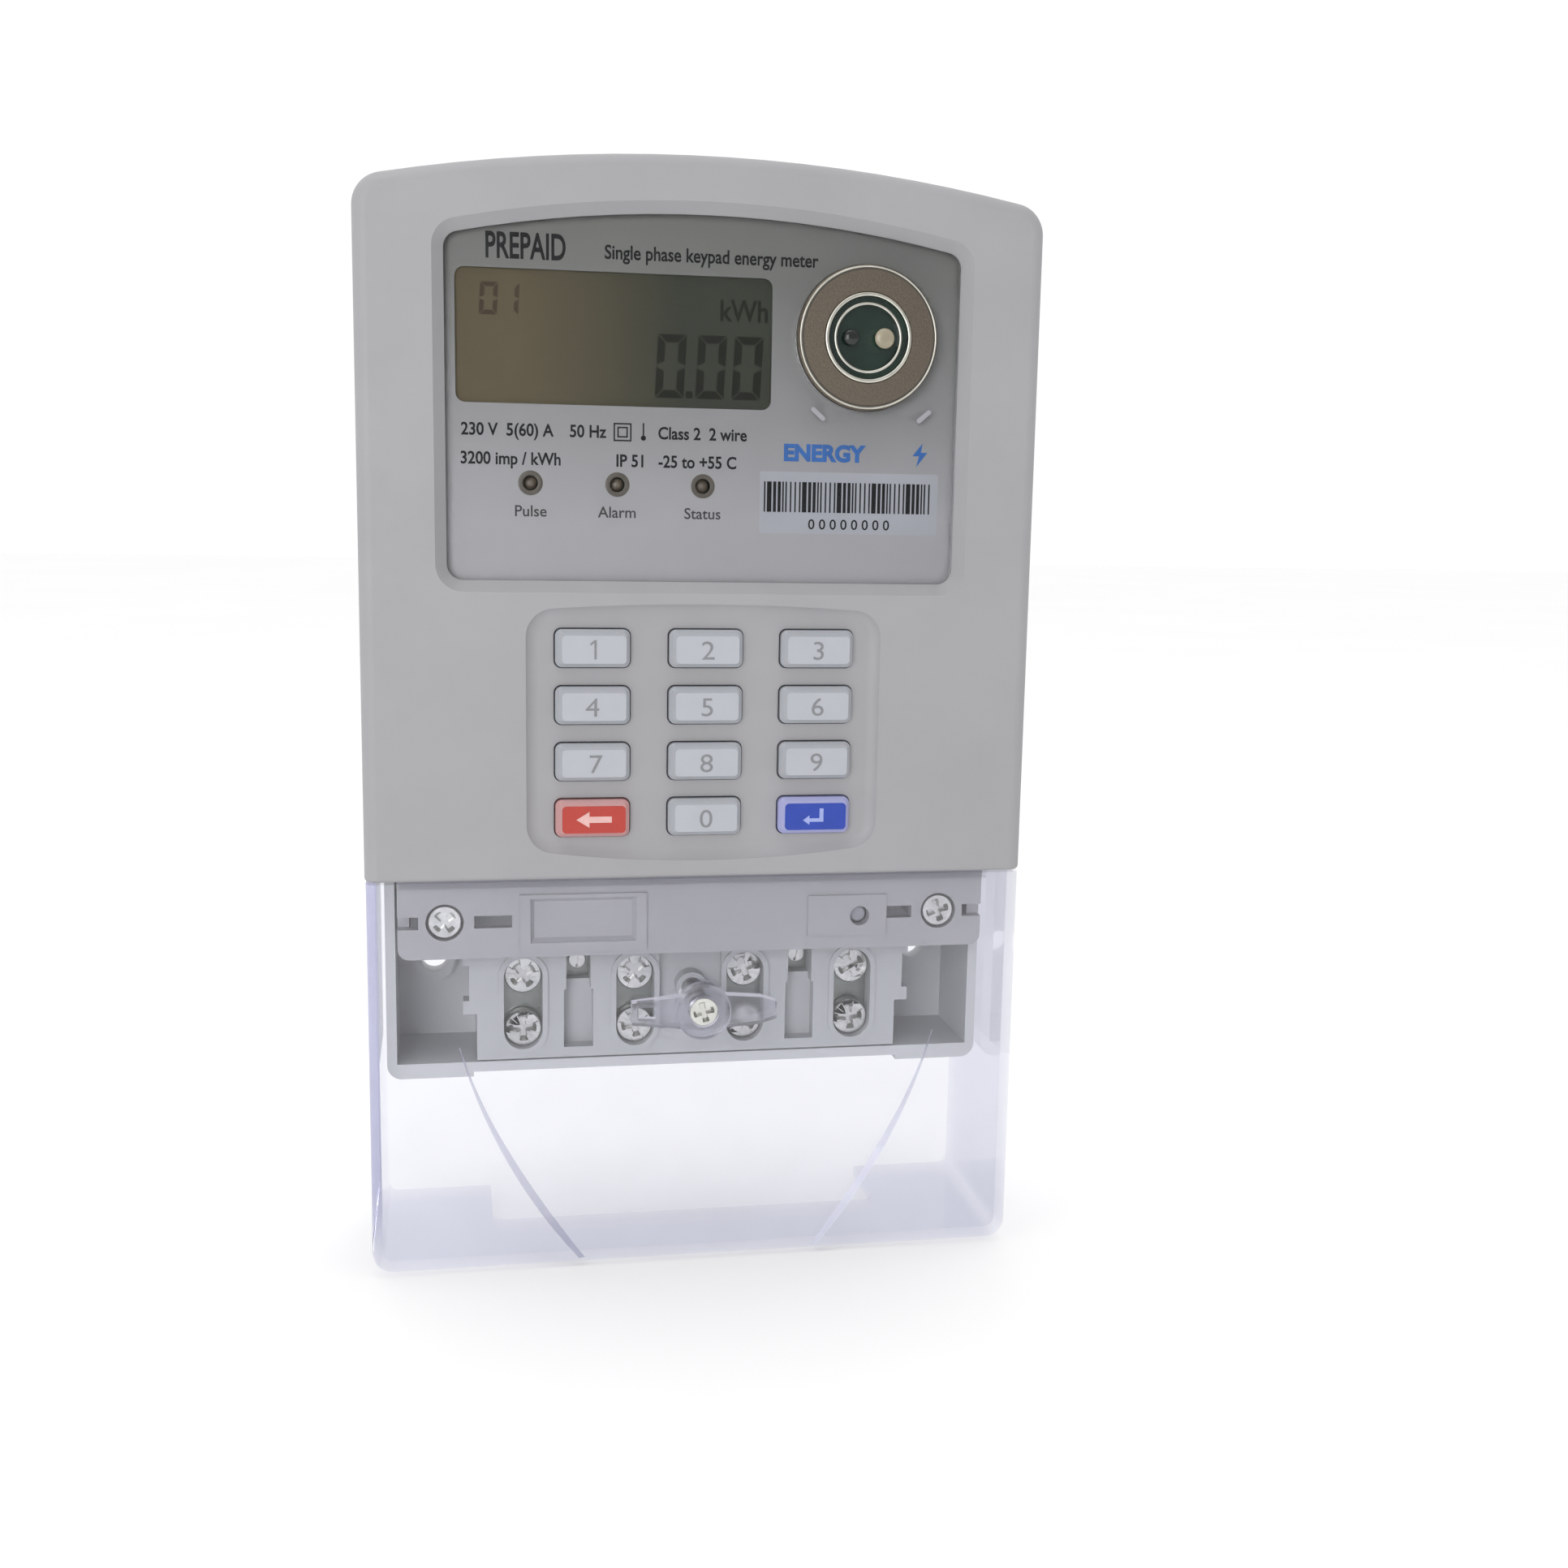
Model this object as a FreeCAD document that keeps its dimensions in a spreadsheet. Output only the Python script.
import FreeCAD, Part
import os
from FreeCAD import Placement, Rotation, Vector

# Prepaid electricity meter with keypad, as its separate pieces.
# Frame: X to the right as seen from the front, the front faces -Y, +Z is up.
# Origin: on the wall face, on the centre line, level with the split between the
# front cover and the terminal cover. All sizes are in millimetres.

doc = FreeCAD.newDocument("prepaid_meter")
sheet = doc.addObject("Spreadsheet::Sheet", "dims")

DIMENSIONS = [
    # case
    ("case_width", 130.0), ("case_depth", 42.0), ("case_top", 136.0), ("top_radius", 316.0),
    ("corner_radius", 6.0), ("edge_radius", 2.6), ("case_wall", 2.4), ("split_depth", 17.0),
    ("back_wall", 2.5), ("tray_half", 62.0), ("tray_wall", 2.0), ("tray_depth", 23.5),
    ("tray_bottom", 45.0), ("fixing_half", 52.5), ("fixing_drop", 24.8), ("fixing_radius", 2.75),
    # window and what is behind it
    ("window_half", 48.85), ("window_bottom", 57.4), ("window_peak", 125.4),
    ("window_radius", 225.0), ("window_slope", 2.1), ("window_corner", 3.0),
    ("panel_thick", 1.5), ("panel_lap", 2.8), ("label_thick", 0.5),
    ("lcd_left", -46.9), ("lcd_right", 12.5), ("lcd_bottom", 90.2), ("lcd_top", 114.6),
    ("port_across", 30.6), ("port_up", 104.1), ("port_radius", 13.6), ("port_bore", 8.0),
    ("port_proud", 1.7),
    ("lamp_first", -33.2), ("lamp_pitch", 16.35), ("lamp_up", 75.6), ("lamp_hole", 2.25),
    # keypad
    ("key_pitch_across", 21.76), ("key_pitch_up", 10.93), ("keypad_up", 28.4),
    ("key_wide", 14.2), ("key_high", 7.2), ("key_gap", 0.27), ("key_proud", 0.6),
    ("dish_half", 34.9), ("dish_bottom", 2.8), ("dish_top", 53.8), ("dish_depth", 1.2),
    ("dish_sweep", 2.8), ("dish_corner", 6.0),
    ("board_plane", 32.6), ("board_thick", 1.6),
    # recessed lower shelf of the front cover
    ("shelf_half", 59.2), ("shelf_drop", 17.3), ("shelf_plane", 34.0), ("shelf_wall", 2.2),
    ("screw_across", 50.1), ("screw_drop", 9.9),
    # terminals
    ("block_half", 43.9), ("block_plane", 24.0), ("block_top", -5.0), ("block_bottom", -41.4),
    ("terminal_pitch", 23.0), ("terminal_wide", 11.0), ("terminal_front", 19.5),
    ("terminal_back", 7.0), ("terminal_top", -18.0), ("terminal_bottom", -40.3),
    ("cable_radius", 4.25), ("cable_plane", 12.65), ("clamp_upper", -24.1),
    ("clamp_lower", -35.4), ("clamp_slot", 3.95), ("clamp_head", 3.8), ("clamp_plane", 22.4),
    ("aux_across", 23.2), ("aux_up", -22.0), ("aux_wire", 1.5), ("aux_plane", 14.6),
    # clear terminal cover, its seal screw and the service button
    ("lid_half", 64.8), ("lid_bottom", -79.0), ("lid_plane", 41.6), ("lid_back", 2.6),
    ("lid_wall", 2.0), ("lid_gap", 0.4), ("notch_half", 41.0), ("notch_depth", 22.0),
    ("seal_up", -26.75), ("seal_shank", 2.0), ("button_across", 33.4), ("button_up", -10.5),
]


class Dim:
    """A number together with the sheet expression that gives it."""

    def __init__(self, number, text=None):
        self.number = float(number)
        self.text = text or repr(float(number))

    def join(self, other, sign, number):
        return Dim(number, "(%s %s %s)" % (self.text, sign, other.text))

    def __add__(self, other):
        other = dim(other)
        return self.join(other, "+", self.number + other.number)

    def __sub__(self, other):
        other = dim(other)
        return self.join(other, "-", self.number - other.number)

    def __mul__(self, other):
        other = dim(other)
        return self.join(other, "*", self.number * other.number)

    def __truediv__(self, other):
        other = dim(other)
        return self.join(other, "/", self.number / other.number)

    def __neg__(self):
        return Dim(0) - self

    def __radd__(self, other):
        return dim(other) + self

    def __rsub__(self, other):
        return dim(other) - self

    def __rmul__(self, other):
        return dim(other) * self


def dim(value):
    return value if isinstance(value, Dim) else Dim(value)


class Sizes:
    """The driving dimensions, each by its name."""


size = Sizes()
for row, (alias, number) in enumerate(DIMENSIONS, start=1):
    sheet.set("A%d" % row, alias)
    sheet.set("B%d" % row, repr(number))
    sheet.setAlias("B%d" % row, alias)
    setattr(size, alias, Dim(number, "dims." + alias))
doc.recompute()

nodes = {}


# ---- drawing helpers -------------------------------------------------------------------

def bind(item, prop, value):
    item.setExpression(prop, dim(value).text)


def place(item, x, y, z):
    for axis, value in zip("xyz", (x, y, z)):
        bind(item, "Placement.Base." + axis, value)


def box(name, x, y, z):
    """A block between two limits along each axis."""
    item = doc.addObject("Part::Box", name)
    for prop, (low, high) in zip(("Length", "Width", "Height"), (x, y, z)):
        bind(item, prop, dim(high) - low)
    place(item, x[0], y[0], z[0])
    return item


TURNS = {
    "x": Rotation(Vector(0, 1, 0), 90),
    "y": Rotation(Vector(1, 0, 0), -90),
    "z": Rotation(),
}


def on_axis(item, axis, centre, start):
    """Stand a round primitive on an axis: centre holds the two other coordinates."""
    item.Placement = Placement(Vector(), TURNS[axis])
    spots = list(centre)
    spots.insert("xyz".index(axis), start)
    place(item, *spots)
    return item


def rod(name, axis, centre, radius, span):
    item = doc.addObject("Part::Cylinder", name)
    bind(item, "Radius", radius)
    bind(item, "Height", dim(span[1]) - span[0])
    return on_axis(item, axis, centre, span[0])


def taper(name, axis, centre, radii, span):
    item = doc.addObject("Part::Cone", name)
    bind(item, "Radius1", radii[0])
    bind(item, "Radius2", radii[1])
    bind(item, "Height", dim(span[1]) - span[0])
    return on_axis(item, axis, centre, span[0])


def fuse(name, parts):
    item = doc.addObject("Part::MultiFuse", name)
    item.Shapes = parts
    return item


def common(name, parts):
    item = doc.addObject("Part::MultiCommon", name)
    item.Shapes = parts
    return item


def cut(name, base, tools):
    item = doc.addObject("Part::Cut", name)
    item.Base = base
    item.Tool = tools[0] if len(tools) == 1 else fuse(name + "_tools", tools)
    return item


def edges_along(axis, low=None, high=None):
    """Chooses straight edges parallel to an axis, between two heights."""
    direction = {"x": Vector(1, 0, 0), "y": Vector(0, 1, 0), "z": Vector(0, 0, 1)}[axis]

    def chosen(edge):
        if edge.Curve.TypeId != "Part::GeomLine":
            return False
        start, end = edge.Vertexes[0].Point, edge.Vertexes[-1].Point
        level = (start.z + end.z) / 2
        inside = (low is None or level > low) and (high is None or level < high)
        return inside and (end - start).cross(direction).Length < 1e-6

    return chosen


def edges_at(depth, low=None):
    """Chooses the edges that lie in the plane y = depth, above a height."""

    def chosen(edge):
        bounds = edge.BoundBox
        flat = abs(bounds.YMin - depth) < 1e-4 and abs(bounds.YMax - depth) < 1e-4
        return flat and (low is None or bounds.ZMax > low)

    return chosen


def dress(kind, name, base, amount, chosen):
    doc.recompute()
    item = doc.addObject(kind, name)
    item.Base = base
    number = dim(amount).number
    item.Edges = [(index, number, number)
                  for index, edge in enumerate(base.Shape.Edges, start=1) if chosen(edge)]
    return item


def rounded(name, base, radius, chosen):
    return dress("Part::Fillet", name, base, radius, chosen)


def bevelled(name, base, width, chosen):
    return dress("Part::Chamfer", name, base, width, chosen)


def arch(name, half, bottom, peak, radius, y, top_corner, bottom_corner=None):
    """A plate with straight sides, a flat bottom and a shallow arc for its top."""
    block = box(name + "_block", (-half, half), y, (bottom, dim(peak) + 1))
    disc = rod(name + "_disc", "y", (0, peak - radius), radius, y)
    body = common(name + "_arch", [block, disc])
    middle = (dim(bottom).number + dim(peak).number) / 2
    body = rounded(name + "_top", body, top_corner, edges_along("y", low=middle))
    if bottom_corner is not None:
        body = rounded(name + "_foot", body, bottom_corner, edges_along("y", high=middle))
    return body


def pad(name, centre, wide, high, y, corner):
    """A block with its four corners rounded, lying in the front plane."""
    across, up = centre
    block = box(name + "_block", (across - wide / 2, across + wide / 2), y,
                (up - high / 2, up + high / 2))
    return rounded(name, block, corner, edges_along("y"))


def obround(name, across, radius, y):
    """The shape of a terminal's opening: two rounds and the straight part between them."""
    ends = [rod("%s_end%d" % (name, index), "y", (across, up), radius, y)
            for index, up in enumerate((size.clamp_upper, size.clamp_lower))]
    middle = box(name + "_middle", (across - radius, across + radius), y,
                 (size.clamp_lower, size.clamp_upper))
    return fuse(name, ends + [middle])


def node(name, item):
    """Name a finished sub-part; its label is its file's name."""
    item.Label = name
    nodes[name] = item
    return item


half_width = size.case_width / 2
front = -size.case_depth
split = -size.split_depth
inner_face = front + size.case_wall
panel_face = front + size.window_slope
label_face = inner_face + size.panel_thick
port_spot = (size.port_across, size.port_up)
lamp_spots = [(size.lamp_first + size.lamp_pitch * index, size.lamp_up) for index in range(3)]
terminal_spots = [size.terminal_pitch * step for step in (-1.5, -0.5, 0.5, 1.5)]
aux_spots = [-size.aux_across, size.aux_across]
seal_spot = (0, size.seal_up)
button_spot = (size.button_across, size.button_up)
board_front = -size.board_plane
board_rear = board_front + size.board_thick
board_posts = [(side * 55.5, up) for side in (-1, 1) for up in (12.0, 120.0)]
power_posts = [(side * 50.0, up) for side in (-1, 1) for up in (20.0, 110.0)]
power_front = -10.6
power_rear = -9.0

KEY_ROWS = [("1", "2", "3"), ("4", "5", "6"), ("7", "8", "9"), ("backspace", "0", "enter")]
key_spots = {}
for line, names in enumerate(KEY_ROWS):
    for column, key_name in enumerate(names):
        key_spots[key_name] = (size.key_pitch_across * (column - 1),
                               size.keypad_up + size.key_pitch_up * (1.5 - line))


# ---- case ------------------------------------------------------------------------------

def front_cover():
    """Front shell: arched face, window opening, keypad dish and the recessed lower shelf."""
    shell = arch("cover_outer", half_width, 0, size.case_top, size.top_radius,
                 (front, split), size.corner_radius)
    shell = rounded("cover_edge", shell, size.edge_radius, edges_at(front.number, low=1.0))
    shell = rounded("cover_lower_edge", shell, 0.8,
                    lambda edge: edges_at(front.number)(edge) and edge.BoundBox.ZMax < 0.1)
    shelf = box("shelf_block", (-size.shelf_half, size.shelf_half),
                (-size.shelf_plane, split), (-size.shelf_drop, 1))
    shelf = rounded("shelf_corners", shelf, 2.2, edges_along("y", high=0))
    bosses = [rod("cover_boss%d" % index, "y", (side * size.screw_across, -size.screw_drop),
                  4.8, (-size.shelf_plane + 1, -19.5)) for index, side in enumerate((-1, 1))]
    posts = [rod("board_post%d" % index, "y", spot, 2.6, (inner_face - 0.5, board_front))
             for index, spot in enumerate(board_posts)]
    raised = -size.shelf_plane - 0.5
    label_frame = box("label_frame", (-35.5, -10.3), (raised, -size.shelf_plane + 1), (-16.3, -4.6))
    switch_pad = box("switch_pad", (22.6, 39.0), (raised, -size.shelf_plane + 1), (-14.5, -6.1))

    cavity = arch("cover_cavity", half_width - size.case_wall, size.case_wall,
                  size.case_top - size.case_wall, size.top_radius - size.case_wall,
                  (inner_face, split + 1), size.corner_radius - size.case_wall)
    shelf_cavity = box("shelf_cavity", (-size.shelf_half + size.shelf_wall,
                                        size.shelf_half - size.shelf_wall),
                       (-size.shelf_plane + size.shelf_wall, split + 1),
                       (-size.shelf_drop - 1, size.case_wall + 1))
    shelf_face = (-size.shelf_plane - 1, -size.shelf_plane + size.shelf_wall + 0.5)
    slots = [box("seal_slot%d" % index, span, shelf_face, (-11.2, -8.7))
             for index, span in enumerate(((-60, -55.2), (-44.4, -37.0), (39.2, 44.4), (55.2, 60)))]
    label_pocket = box("label_pocket", (-33.4, -12.4), (raised - 1, -size.shelf_plane + 0.7),
                       (-14.4, -5.4))
    label_pocket = bevelled("label_pocket_slope", label_pocket, 0.8,
                            edges_at((-size.shelf_plane + 0.7).number))
    button_hole = rod("button_hole", "y", button_spot, 2.0, shelf_face)
    head_holes = []
    for index, side in enumerate((-1, 1)):
        spot = (side * size.screw_across, -size.screw_drop)
        head_holes.append(rod("head_hole%d" % index, "y", spot, 3.7,
                              (-size.shelf_plane - 1, -31.2)))
        head_holes.append(rod("shank_hole%d" % index, "y", spot, 1.7, (-31.5, -18)))

    opening = arch("window_hole", size.window_half, size.window_bottom, size.window_peak,
                   size.window_radius, (front - 1, inner_face + 1),
                   size.window_corner, size.window_corner)
    grow = size.window_slope
    slope = arch("window_slope_tool", size.window_half + grow, size.window_bottom - grow,
                 size.window_peak + grow, size.window_radius + grow, (front - 1, panel_face),
                 size.window_corner + grow, size.window_corner + grow)
    slope = bevelled("window_slope_face", slope, grow, edges_at(panel_face.number))

    # The dish's tool reaches out in front, so that its wide floor rounding fits in it.
    dish_y = (front - 2 * size.dish_sweep, front + size.dish_depth)
    dish = common("dish_plan", [
        box("dish_block", (-size.dish_half, size.dish_half), dish_y,
            (size.dish_bottom, size.dish_top)),
        rod("dish_upper", "y", (0, size.dish_top - 436), 436, dish_y),
        rod("dish_lower", "y", (0, size.dish_bottom + 231), 231, dish_y)])
    dish = rounded("dish_corners", dish, size.dish_corner, edges_along("y"))
    dish = rounded("dish_floor", dish, size.dish_sweep, edges_at(dish_y[1].number))
    gap = 2 * size.key_gap
    keyholes = [pad("keyhole_" + key, spot, size.key_wide + gap, size.key_high + gap,
                    (front - 1, inner_face + 1), 1.5) for key, spot in key_spots.items()]

    solid = fuse("cover_plain", [shell, shelf])
    hollow = cut("cover_hollow", solid, [cavity, shelf_cavity])
    built = fuse("cover_built", [hollow, label_frame, switch_pad] + bosses + posts)
    pilot_holes = [rod("board_pilot%d" % index, "y", spot, 1.12, (board_front - 4.5, board_front))
                   for index, spot in enumerate(board_posts)]
    tools = [opening, slope, dish, label_pocket, button_hole]
    node("front_cover", cut("cover_finished", built,
                            tools + slots + head_holes + keyholes + pilot_holes))


def gasket_ring(name, margin, depth):
    """The seal's path along the rim between the shells, open at the bottom."""
    outer = arch(name + "_outer", half_width - 0.7 + margin, 2.4, size.case_top - 0.7 + margin,
                 size.top_radius - 0.7 + margin, (split, split + depth),
                 size.corner_radius - 0.7 + margin)
    inner = arch(name + "_inner", half_width - 1.7 - margin, 2.0, size.case_top - 1.7 - margin,
                 size.top_radius - 1.7 - margin, (split - 1, split + depth + 1),
                 size.corner_radius - 1.7 - margin)
    return cut(name, outer, [inner])


def base_case():
    """Rear shell against the wall, with the lower tray that holds the terminal block."""
    shell = arch("base_outer", half_width, 0, size.case_top, size.top_radius, (split, 0),
                 size.corner_radius)
    tray = box("tray_block", (-size.tray_half, size.tray_half), (-size.tray_depth, 0),
               (-size.tray_bottom, -0.3))
    tray = rounded("tray_corners", tray, 3.0, edges_along("y", high=-10))
    neck = box("tray_neck", (-size.tray_half, size.tray_half), (split, 0), (-5, 5))
    cavity = arch("base_cavity", half_width - size.case_wall, -0.5,
                  size.case_top - size.case_wall, size.top_radius - size.case_wall,
                  (split - 1, -size.back_wall), size.corner_radius - size.case_wall)
    corners = [box("neck_wall%d" % index, span, (split, -1), (0, size.case_wall))
               for index, span in enumerate(((-64.9, -size.tray_half + size.tray_wall),
                                             (size.tray_half - size.tray_wall, 64.9)))]
    tray_inner = size.tray_half - size.tray_wall
    tray_cavity = box("tray_cavity", (-tray_inner, tray_inner),
                      (-size.tray_depth - 1, -size.back_wall), (-41.9, 4))
    middle_relief = box("tray_relief", (-44.6, 44.6), (-size.tray_depth - 1, 1),
                        (-size.tray_bottom - 1, -44.0))
    cable_way = box("cable_way", (-42, 42), (-20.8, -size.back_wall), (-46, -41))

    posts = [rod("base_post%d" % index, "y", (side * size.screw_across, -size.screw_drop),
                 4.5, (-19.2, -1)) for index, side in enumerate((-1, 1))]
    posts += [rod("power_post%d" % index, "y", spot, 2.6, (power_rear, -1))
              for index, spot in enumerate(power_posts)]
    pads = [rod("fixing_pad%d" % index, "y", (side * size.fixing_half, -size.fixing_drop),
                4.6, (-4.5, -1)) for index, side in enumerate((-1, 1))]
    hanger_pad = box("hanger_pad", (-14, 14), (-6, -1), (108, 131))
    holes = [rod("fixing_hole%d" % index, "y", (side * size.fixing_half, -size.fixing_drop),
                 size.fixing_radius, (-6, 1)) for index, side in enumerate((-1, 1))]
    holes += [rod("base_pilot%d" % index, "y", (side * size.screw_across, -size.screw_drop),
                  1.53, (-20, -6)) for index, side in enumerate((-1, 1))]
    holes += [rod("power_pilot%d" % index, "y", spot, 1.12, (-10, -4))
              for index, spot in enumerate(power_posts)]
    plate_seat = box("hanger_seat", (-12, 12), (-1.5, 1), (110.5, 129.5))
    head_room = box("hanger_room", (-9, 9), (-3.8, 1), (112.5, 127.5))

    solid = fuse("base_solid", [shell, tray, neck])
    hollow = cut("base_hollow", solid, [cavity, tray_cavity, middle_relief])
    built = fuse("base_built", [hollow, hanger_pad] + corners + posts + pads)
    groove = gasket_ring("gasket_groove", 0.05, 1.05)
    node("base_case", cut("base_finished", built,
                          [groove, cable_way, plate_seat, head_room] + holes))
    node("cover_gasket", gasket_ring("gasket", 0, 1.0))


def hanger_plate():
    """Steel plate in the back wall with the keyhole that hangs on the upper screw."""
    plate = box("hanger_block", (-11.9, 11.9), (-1.5, 0), (110.6, 129.4))
    plate = rounded("hanger_round", plate, 1.0, edges_along("y"))
    head_hole = rod("hanger_head", "y", (0, 117), 4.5, (-3, 1))
    slot_end = rod("hanger_slot_end", "y", (0, 124), 2.4, (-3, 1))
    slot = box("hanger_slot", (-2.4, 2.4), (-3, 1), (117, 124))
    node("hanger_plate", cut("hanger_cut", plate, [head_hole, slot, slot_end]))


# ---- window, display and optical port --------------------------------------------------

def window_parts():
    """Clear panel, printed plate behind it, display and its light box."""
    clearance = 0.15
    nose = arch("panel_nose", size.window_half - clearance, size.window_bottom + clearance,
                size.window_peak - clearance, size.window_radius, (panel_face, inner_face + 0.5),
                size.window_corner, size.window_corner)
    lap = size.panel_lap
    flange = arch("panel_flange", size.window_half + lap, size.window_bottom - lap,
                  size.window_peak + lap, size.window_radius + lap, (inner_face, label_face),
                  size.window_corner + lap, size.window_corner + lap)
    port_hole = rod("panel_port", "y", port_spot, size.port_radius + clearance,
                    (front, label_face + 3))
    node("window_panel", cut("panel_cut", fuse("panel_body", [nose, flange]), [port_hole]))

    plate_y = (label_face + 0.1, label_face + 0.1 + size.label_thick)
    plate = arch("label_blank", size.window_half + lap, size.window_bottom - lap,
                 size.window_peak + lap, size.window_radius + lap, plate_y,
                 size.window_corner + lap, size.window_corner + lap)
    hole_y = (label_face - 1, label_face + 2)
    lcd_mid = ((size.lcd_left + size.lcd_right) / 2, (size.lcd_bottom + size.lcd_top) / 2)
    tools = [pad("label_lcd", lcd_mid, size.lcd_right - size.lcd_left,
                 size.lcd_top - size.lcd_bottom, hole_y, 1.8),
             rod("label_port", "y", port_spot, size.port_radius + clearance, hole_y)]
    tools += [rod("label_lamp%d" % index, "y", spot, size.lamp_hole, hole_y)
              for index, spot in enumerate(lamp_spots)]
    node("label_plate", cut("label_cut", plate, tools))

    glass_front = label_face + size.label_thick + 0.3
    node("lcd_glass", box("lcd_block", (size.lcd_left - 1.6, size.lcd_right + 2),
                          (glass_front, -35), (size.lcd_bottom - 2.2, size.lcd_top + 2.4)))
    frame = box("light_box", (size.lcd_left - 3, size.lcd_right + 3.4), (-37, board_front),
                (size.lcd_bottom - 3.7, size.lcd_top + 3.9))
    bed = box("light_bed", (size.lcd_left - 1.7, size.lcd_right + 2.1), (-38, -35),
              (size.lcd_bottom - 2.3, size.lcd_top + 2.5))
    node("lcd_light_box", cut("light_box_cut", frame, [bed]))


def optical_port():
    """Steel ring for a magnetic reading head, its dark window and the two diodes."""
    ring_front = panel_face - size.port_proud
    ring = rod("ring_blank", "y", port_spot, size.port_radius, (ring_front, label_face + 0.4))
    ring = bevelled("ring_rim", ring, 0.5, edges_at(ring_front.number))
    bore = rod("ring_bore", "y", port_spot, size.port_bore, (ring_front - 1, -36))
    lip = taper("ring_lip", "y", port_spot, (size.port_bore + 1.6, size.port_bore - 0.4),
                (ring_front - 1, ring_front + 1))
    node("optical_port_ring", cut("ring_cut", ring, [bore, lip]))

    cup_radius = size.port_bore - 0.1
    cup = rod("cup_blank", "y", port_spot, cup_radius, (ring_front + 0.5, board_front))
    dip = rod("cup_dip", "y", port_spot, 6.1, (ring_front - 1, ring_front + 1.6))
    room = rod("cup_room", "y", port_spot, 6.6, (ring_front + 2.8, board_front + 1))
    node("optical_window", cut("cup_cut", cup, [dip, room]))
    for name, shift in (("ir_led", 3.25), ("phototransistor", -3.25)):
        spot = (size.port_across + shift, size.port_up)
        body = rod(name + "_body", "y", spot, 2.5, (-36.2, board_front))
        dome = doc.addObject("Part::Sphere", name + "_dome")
        bind(dome, "Radius", 2.5)
        place(dome, spot[0], -36.2, spot[1])
        node(name, fuse(name + "_whole", [body, dome]))


def indicator_leds():
    """Three lamps behind the small round holes."""
    lamps = []
    for index, spot in enumerate(lamp_spots):
        body = rod("lamp_body%d" % index, "y", spot, 1.5, (-35.7, board_front))
        dome = doc.addObject("Part::Sphere", "lamp_dome%d" % index)
        bind(dome, "Radius", 1.5)
        place(dome, spot[0], -35.7, spot[1])
        lamps.append(fuse("lamp%d" % index, [body, dome]))
    group = doc.addObject("Part::Compound", "lamp_group")
    group.Links = lamps
    node("indicator_leds", group)


def screw(name, spot, head, shank, y, recess=0.5):
    """A pan-head screw that points into the case, with a cross recess."""
    top, seat, tip = y
    cap = rod(name + "_cap", "y", spot, head, (top, seat))
    cap = bevelled(name + "_rim", cap, min(0.5, (dim(seat) - top).number / 3),
                   edges_at(dim(top).number))
    stem = rod(name + "_stem", "y", spot, shank, (dim(seat) - 0.2, tip))
    across, up = dim(spot[0]), dim(spot[1])
    arm, width = 0.62 * dim(head).number, 0.14 * dim(head).number
    depth = (dim(top) - 1, dim(top) + recess)
    slots = [box(name + "_slot0", (across - arm, across + arm), depth, (up - width, up + width)),
             box(name + "_slot1", (across - width, across + width), depth, (up - arm, up + arm))]
    return cut(name, fuse(name + "_solid", [cap, stem]), slots)


def group_node(name, items):
    group = doc.addObject("Part::Compound", name + "_group")
    group.Links = items
    node(name, group)


# ---- keypad ----------------------------------------------------------------------------

def keypad():
    """Twelve keys, the rubber mat under them and the front board with its screws."""
    travel = 1.0
    tip = board_front - travel - 0.2
    for key, spot in key_spots.items():
        cap = pad("cap_" + key, spot, size.key_wide, size.key_high,
                  (front - size.key_proud, inner_face + 0.4), 1.3)
        cap = bevelled("cap_edge_" + key, cap, 0.7, edges_at((front - size.key_proud).number))
        flange = pad("flange_" + key, spot, size.key_wide + 1.8, size.key_high + 1.8,
                     (inner_face + 0.2, inner_face + 1.0), 1.8)
        stem = rod("stem_" + key, "y", spot, 2.2, (inner_face + 0.8, tip))
        node("key_" + key, fuse("keycap_" + key, [cap, flange, stem]))

    sheet_face = board_front - 1.0
    mat = box("mat_sheet", (-size.dish_half + 1, size.dish_half - 1), (sheet_face, board_front),
              (size.dish_bottom + 2, size.dish_top - 1.5))
    mat = rounded("mat_corners", mat, 3.0, edges_along("y"))
    domes = [taper("dome_" + key, "y", spot, (4.0, 5.0), (sheet_face - 1.4, sheet_face + 0.2))
             for key, spot in key_spots.items()]
    holes = [rod("dome_hole_" + key, "y", spot, 3.0, (sheet_face - 3, board_front + 1))
             for key, spot in key_spots.items()]
    node("key_mat", cut("mat_cut", fuse("mat_body", [mat] + domes), holes))

    board = box("front_board", (-57.5, 57.5), (board_front, board_rear), (5, 125.5))
    holes = [rod("front_board_hole%d" % index, "y", spot, 1.3, (board_front - 1, board_rear + 1))
             for index, spot in enumerate(board_posts)]
    node("front_pcb", cut("front_board_cut", board, holes))
    items = []
    for index, spot in enumerate(board_posts):
        items.append(back_screw("front_board_screw%d" % index, spot, board_rear))
    group_node("front_pcb_screws", items)


def back_screw(name, spot, seat):
    """A small screw whose head faces the wall, holding the front board."""
    cap = rod(name + "_cap", "y", spot, 2.1, (seat, seat + 1.4))
    stem = rod(name + "_stem", "y", spot, 1.1, (seat - 5.4, seat + 0.2))
    return fuse(name, [cap, stem])


# ---- power board and what stands on it --------------------------------------------------

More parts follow.
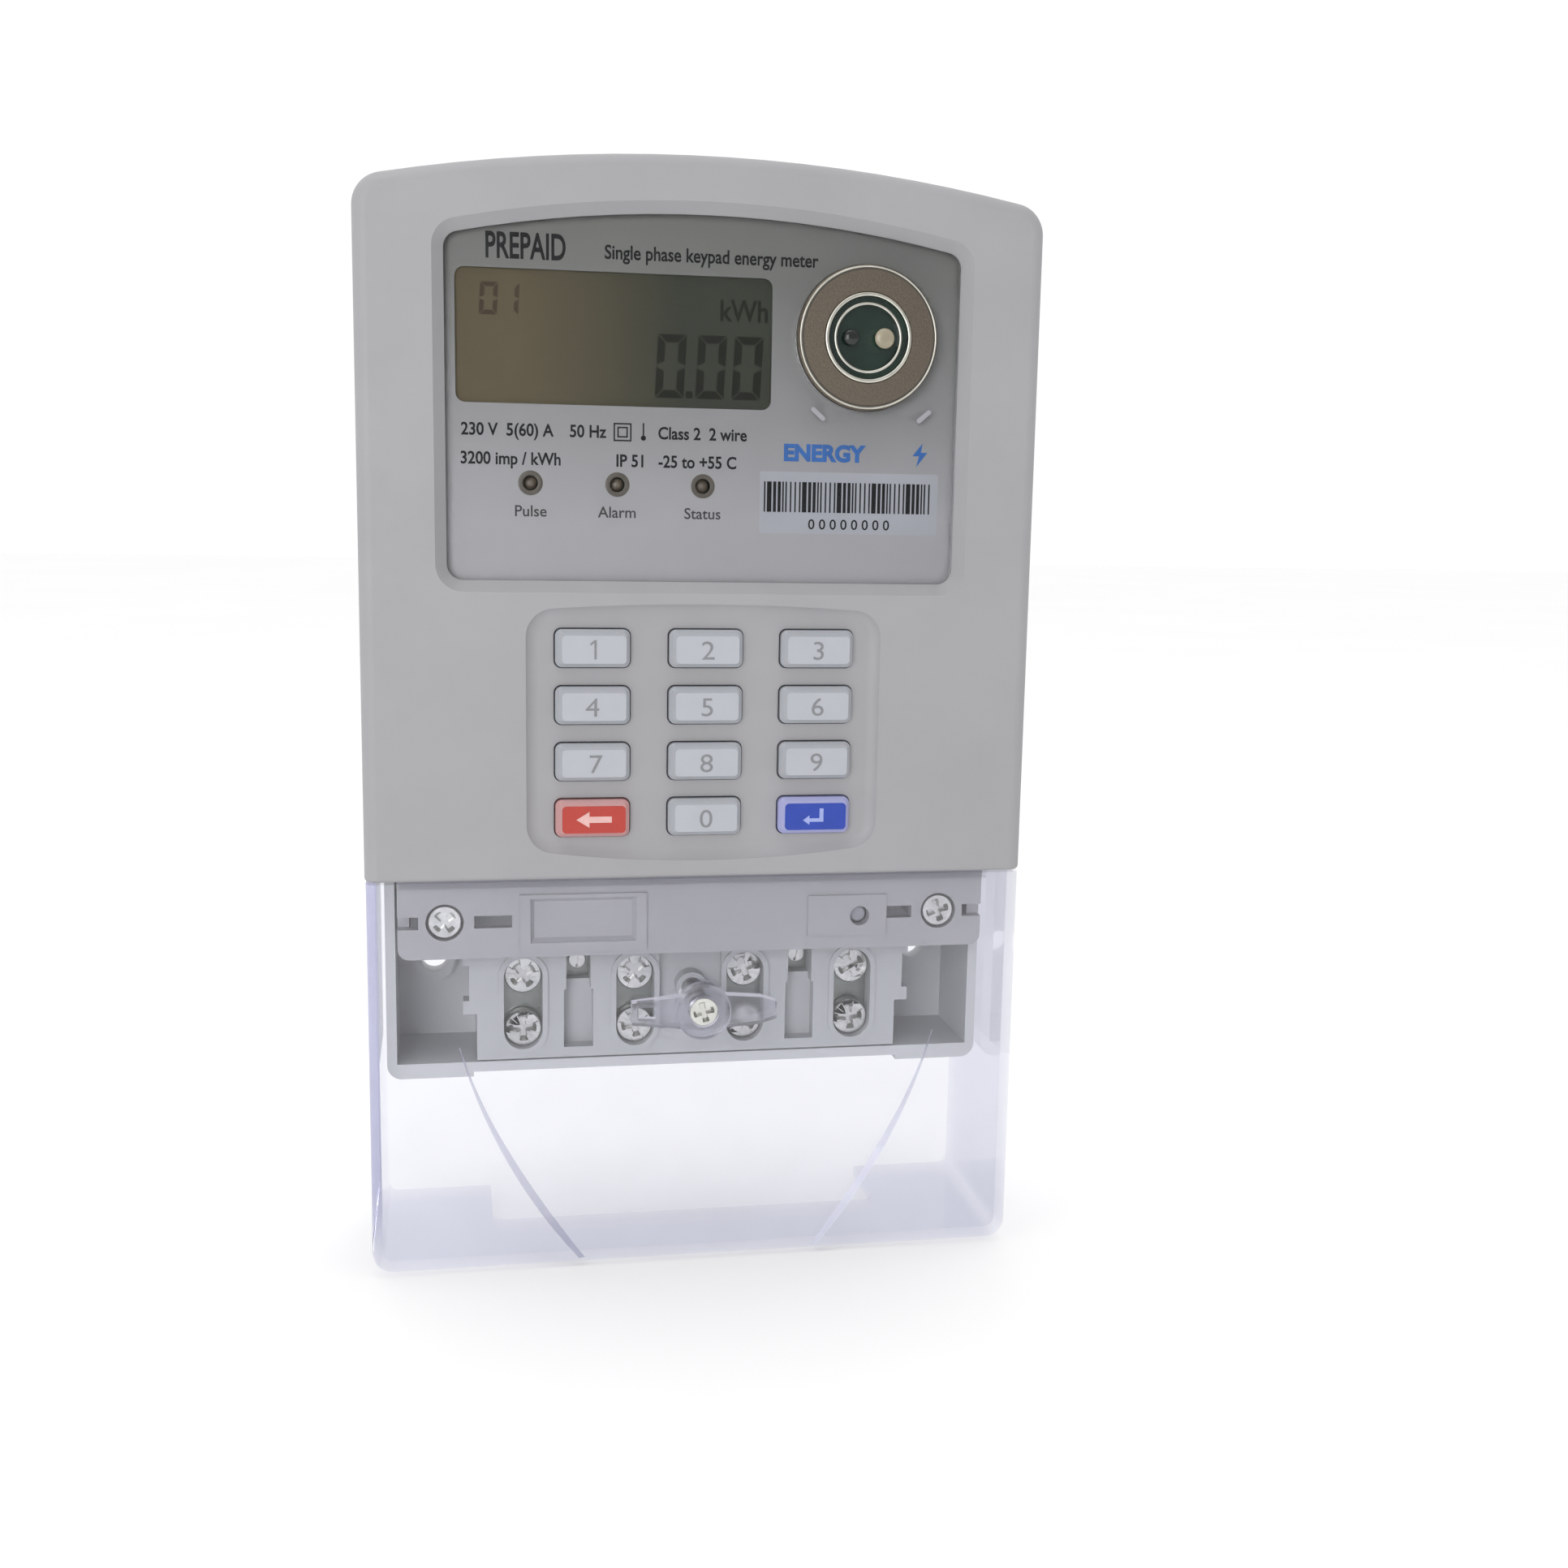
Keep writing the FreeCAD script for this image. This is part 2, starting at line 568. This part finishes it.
def power_board():
    board = box("power_board", (-54, 54), (power_front, power_rear), (14, 116))
    holes = [rod("power_board_hole%d" % index, "y", spot, 1.3, (power_front - 1, power_rear + 1))
             for index, spot in enumerate(power_posts)]
    node("power_pcb", cut("power_board_cut", board, holes))
    group_node("power_pcb_screws", [screw("power_screw%d" % index, spot, 2.1, 1.1,
                                          (power_front - 1.4, power_front, -4.5))
                                    for index, spot in enumerate(power_posts)])
    relay = box("relay_block", (-42, -4), (-27, power_front), (17, 46))
    node("latching_relay", rounded("relay_round", relay, 1.0, edges_along("y")))
    node("board_connector", box("connector_block", (-8, 8), (board_rear, power_front), (60, 65)))
    can = rod("can_block", "y", (20, 60), 8.0, (-27, power_front))
    node("supply_capacitor", rounded("can_round", can, 0.8, edges_at(-27.0)))
    film = box("film_block", (8, 34), (-26, power_front), (80, 90))
    node("film_capacitor", rounded("film_round", film, 1.0, edges_along("y")))
    node("backup_battery", rod("battery_block", "x", (-18.2, 101), 7.2, (-46, -21)))
    node("buzzer", cut("buzzer_cut", rod("buzzer_block", "y", (42, 40), 6.0, (-19, power_front)),
                       [rod("buzzer_hole", "y", (42, 40), 1.2, (-20, -15))]))
    node("varistor", rod("varistor_block", "x", (-19, 72), 7.0, (42, 46.5)))


def conductors():
    """The strips that join the terminals to the relay and to each other."""
    first, second, third, fourth = terminal_spots
    strip_y = (-13.4, -11.9)
    shunt = box("shunt_strip", (first - 4, first + 4), strip_y, (size.terminal_top, 17))
    notch = box("shunt_notch", (first - 5, first - 1.5), (-14, -11), (-2, 8))
    node("current_shunt", cut("shunt_cut", shunt, [notch]))
    node("line_busbar", box("line_strip", (second - 4, second + 4), strip_y,
                            (size.terminal_top, 17)))
    legs = [box("neutral_leg%d" % index, (spot - 4, spot + 4), strip_y, (size.terminal_top, -2))
            for index, spot in enumerate((third, fourth))]
    bridge = box("neutral_bridge", (third - 4, fourth + 4), strip_y, (-3.5, 4))
    node("neutral_busbar", fuse("neutral_strip", legs + [bridge]))


# ---- terminals --------------------------------------------------------------------------

def terminal_block():
    """Insulating block with four large clamps, two small ones and the seal screw's boss."""
    face = -size.block_plane
    block = box("block_body", (-size.block_half, size.block_half), (face, -size.back_wall),
                (size.block_bottom, size.block_top))
    lugs = [box("block_lug%d" % index, span, (face, face + 4), (-31.6, -16))
            for index, span in enumerate(((-46.6, -size.block_half + 1),
                                          (size.block_half - 1, 46.6)))]
    notches = [box("lug_notch%d" % index, span, (face - 1, face + 5), (-28.8, -21.4))
               for index, span in enumerate(((-47, -45.4), (45.4, 47)))]
    rims = [obround("rim%d" % index, spot, size.clamp_slot + 1.1, (face - 0.4, face + 1))
            for index, spot in enumerate(terminal_spots)]
    boss = rod("insert_boss", "y", seal_spot, 3.2, (face - 2.5, face + 2))
    recess = box("seal_recess", (-6.5, 6.5), (face - 3, face + 1.5), (-36, size.block_top + 1))
    block = cut("block_recessed", fuse("block_whole", [block] + lugs), [recess])
    block = fuse("block_built", [block, boss] + rims)

    fit = 0.05
    tools = list(notches)
    for index, spot in enumerate(terminal_spots):
        half = size.terminal_wide / 2 + fit
        tools.append(box("terminal_bay%d" % index, (spot - half, spot + half),
                         (-size.terminal_front - fit, -size.terminal_back + fit),
                         (size.block_bottom - 1, size.terminal_top + fit)))
        tools.append(obround("clamp_hole%d" % index, spot, size.clamp_slot,
                             (face - 3, -size.terminal_front)))
        tools.append(box("strip_way%d" % index, (spot - 4.2, spot + 4.2), (-13.6, -11.7),
                         (size.terminal_top - 1, size.block_top + 1)))
    tools.append(box("bridge_way", (terminal_spots[2], terminal_spots[3]), (-13.6, -11.7),
                     (-6, size.block_top + 1)))
    for index, spot in enumerate(aux_spots):
        tools.append(box("aux_slot%d" % index, (spot - 3, spot + 3), (face - 3, -20.5),
                         (-39.3, -27)))
        tools.append(box("aux_neck%d" % index, (spot - 2.5, spot + 2.5), (face - 3, -20.5),
                         (-27.5, -25)))
        tools.append(box("aux_bay%d" % index, (spot - 2.5, spot + 2.5), (face - 3, -12),
                         (-25.7, -12)))
        tools.append(rod("aux_way%d" % index, "z", (spot, -size.aux_plane), 1.8,
                         (size.block_bottom - 1, -25)))
    tools.append(rod("insert_seat", "y", seal_spot, 2.65, (face, -16)))
    tools.append(rod("insert_way", "y", seal_spot, size.seal_shank + 0.15, (face - 4, -23)))
    tools.append(rod("insert_end", "y", seal_spot, 2.3, (-17, -12)))
    node("terminal_block", cut("block_finished", block, tools))


def clamps():
    """Brass cage of each cable, its two screws, and the two small clamps."""
    names = ("line_in", "line_out", "neutral_in", "neutral_out")
    screws = []
    for name, spot in zip(names, terminal_spots):
        half = size.terminal_wide / 2
        cage = box("cage_" + name, (spot - half, spot + half),
                   (-size.terminal_front, -size.terminal_back),
                   (size.terminal_bottom, size.terminal_top))
        cage = bevelled("cage_edge_" + name, cage, 0.4, edges_along("z"))
        tools = [rod("cage_bore_" + name, "z", (spot, -size.cable_plane), size.cable_radius,
                     (size.terminal_bottom - 1, size.terminal_top - 2.2))]
        for index, up in enumerate((size.clamp_upper, size.clamp_lower)):
            tools.append(rod("cage_thread%d_%s" % (index, name), "y", (spot, up), 2.55,
                             (-size.terminal_front - 1, -size.cable_plane)))
            screws.append(screw("clamp_%s%d" % (name, index), (spot, up), size.clamp_head, 2.5,
                                (-size.clamp_plane, -20, -17.0), 1.0))
        node("terminal_" + name, cut("cage_cut_" + name, cage, tools))
    group_node("terminal_screws", screws)

    cages, screws = [], []
    for index, spot in enumerate(aux_spots):
        cage = box("aux_cage%d" % index, (spot - 2.4, spot + 2.4), (-18, -12.1), (-25.6, -13))
        bore = rod("aux_bore%d" % index, "z", (spot, -size.aux_plane), size.aux_wire, (-27, -15))
        thread = rod("aux_thread%d" % index, "y", (spot, size.aux_up), 1.25,
                     (-19, -size.aux_plane))
        cages.append(cut("aux_cage_cut%d" % index, cage, [bore, thread]))
        screws.append(screw("aux_screw%d" % index, (spot, size.aux_up), 1.75, 1.2,
                            (-19.4, -18, -16.2), 0.6))
    group_node("aux_terminals", cages)
    group_node("aux_terminal_screws", screws)


# ---- terminal cover, seal screw and service button --------------------------------------

def terminal_cover():
    """Clear lid over the terminals, open to the back, with a wide notch for the cables."""
    face = -size.lid_plane
    top = -size.lid_gap
    block = box("lid_block", (-size.lid_half, size.lid_half), (face, -size.lid_back),
                (size.lid_bottom, top))
    block = rounded("lid_corners", block, 4.0, edges_along("y", high=-40))
    block = rounded("lid_edge", block, 1.8,
                    lambda edge: edges_at(face.number)(edge) and edge.BoundBox.ZMin < top.number - 1)
    wall = size.lid_wall
    cavity = box("lid_cavity", (-size.lid_half + wall, size.lid_half - wall), (face + wall, 1),
                 (size.lid_bottom + wall, 1))
    cavity = rounded("lid_cavity_corners", cavity, 2.0, edges_along("y", high=-40))
    notch = box("cable_notch", (-size.notch_half, size.notch_half), (-size.notch_depth, 1),
                (size.lid_bottom - 1, size.lid_bottom + wall + 1))
    notch = rounded("cable_notch_round", notch, 3.0,
                    lambda edge: edges_along("z")(edge) and edge.BoundBox.YMax < -10)

    # Shallow scoop in the face: two arcs close it towards the bottom, where it is deepest.
    scoop_y = (face - 3, face + 3)
    sides = [taper("scoop_side%d" % index, "y", (side * 61.9, -4.6), (119.3, 106.7), scoop_y)
             for index, side in enumerate((-1, 1))]
    wedge = box("scoop_wedge", (-70, 70), (0, 4), (-60, 0))
    wedge.Placement = Placement(Vector(0, 0, 0), Rotation(Vector(1, 0, 0), 1.15))
    place(wedge, -70, face - 4, -32)
    scoop = common("scoop", sides + [wedge])

    flange = box("lid_flange", (-58.5, 58.5), (face + 1, -35.2), (top - 1.5, top))
    boss = rod("lid_boss", "y", seal_spot, 5.0, (face + 1, -38.4))
    bore = rod("lid_bore", "y", seal_spot, 2.6, (face - 1, -26))
    shell = cut("lid_shell", block, [cavity, notch, scoop])
    node("terminal_cover", cut("lid_finished", fuse("lid_built", [shell, flange, boss]),
                               [bore]))


def seal_screw():
    """Screw with a clear winged head, and the brass insert that it is turned into."""
    up = size.seal_up.number
    wing_y = (-45.0, -42.0)
    outline = [(-14.2, 2.2), (-4, 3.3), (4, 3.3), (11.5, 2.7), (14.6, 1.7), (14.6, -1.7),
               (11.5, -2.7), (4, -3.3), (-4, -3.3), (-14.2, -2.2), (-14.2, 2.2)]
    points = [Vector(across, wing_y[0] + 0.4, up + rise) for across, rise in outline]
    plate = doc.addObject("Part::Feature", "wing_plate")
    plate.Shape = Part.Face(Part.makePolygon(points)).extrude(Vector(0, 2.6, 0))
    hub = rod("wing_hub", "y", seal_spot, 5.6, wing_y)
    hub = bevelled("wing_hub_rim", hub, 0.5, edges_at(wing_y[0]))
    seat = rod("wing_seat", "y", seal_spot, 3.0, (-46, -42.9))
    bore = rod("wing_bore", "y", seal_spot, size.seal_shank + 0.03, (-44, -41))
    wire_hole = box("wing_wire_hole", (-13.0, -9.6), (-46, -41), (up - 1.3, up + 1.3))
    node("seal_wing", cut("wing_cut", fuse("wing_whole", [plate, hub]), [seat, bore, wire_hole]))
    node("seal_screw", screw("seal_metal", seal_spot, 2.9, size.seal_shank,
                             (-44.5, -42.9, -18), 0.9))
    insert = rod("insert_body", "y", seal_spot, 2.6, (-23.9, -16.1))
    node("seal_insert", cut("insert_cut", insert,
                            [rod("insert_bore", "y", seal_spot, size.seal_shank + 0.05,
                                 (-28, -15))]))


def service_switch():
    """Switch behind the shelf, with a button that is reached through the shelf's hole."""
    body = box("switch_body", (28, 40), (-30.6, -size.block_plane), (-14.4, -6.8))
    body = rounded("switch_round", body, 0.5, edges_along("y"))
    hole = rod("switch_hole", "y", button_spot, 1.65, (-32, -27))
    node("service_switch", cut("switch_cut", body, [hole]))
    button = rod("button_body", "y", button_spot, 1.6, (-32.6, -28.6))
    node("service_button", rounded("button_round", button, 0.4, edges_at(-32.6)))


def cover_screws():
    group_node("cover_screws", [screw("cover_screw%d" % index,
                                      (side * size.screw_across, -size.screw_drop), 3.3, 1.5,
                                      (-33.5, -31.2, -7), 0.9)
                                for index, side in enumerate((-1, 1))])


for make in (front_cover, base_case, hanger_plate, window_parts, optical_port, indicator_leds,
             keypad, power_board, conductors, terminal_block, clamps, terminal_cover,
             seal_screw, service_switch, cover_screws):
    make()
doc.recompute()

# ---- checks and files --------------------------------------------------------------------

for item in doc.Objects:
    if "Invalid" in item.State or "Error" in item.State:
        raise RuntimeError("object failed: " + item.Name)
for name, item in nodes.items():
    if item.Shape.isNull() or not item.Shape.isValid():
        raise RuntimeError("bad shape: " + name)

os.makedirs("parts", exist_ok=True)
for name, item in nodes.items():
    item.Shape.exportStep("parts/%s.step" % name)
    bounds = item.Shape.BoundBox
    print("%-22s %3d solid %9.1f mm3  x %6.1f %6.1f  y %6.1f %6.1f  z %6.1f %6.1f" % (
        name, len(item.Shape.Solids), item.Shape.Volume, bounds.XMin, bounds.XMax,
        bounds.YMin, bounds.YMax, bounds.ZMin, bounds.ZMax))
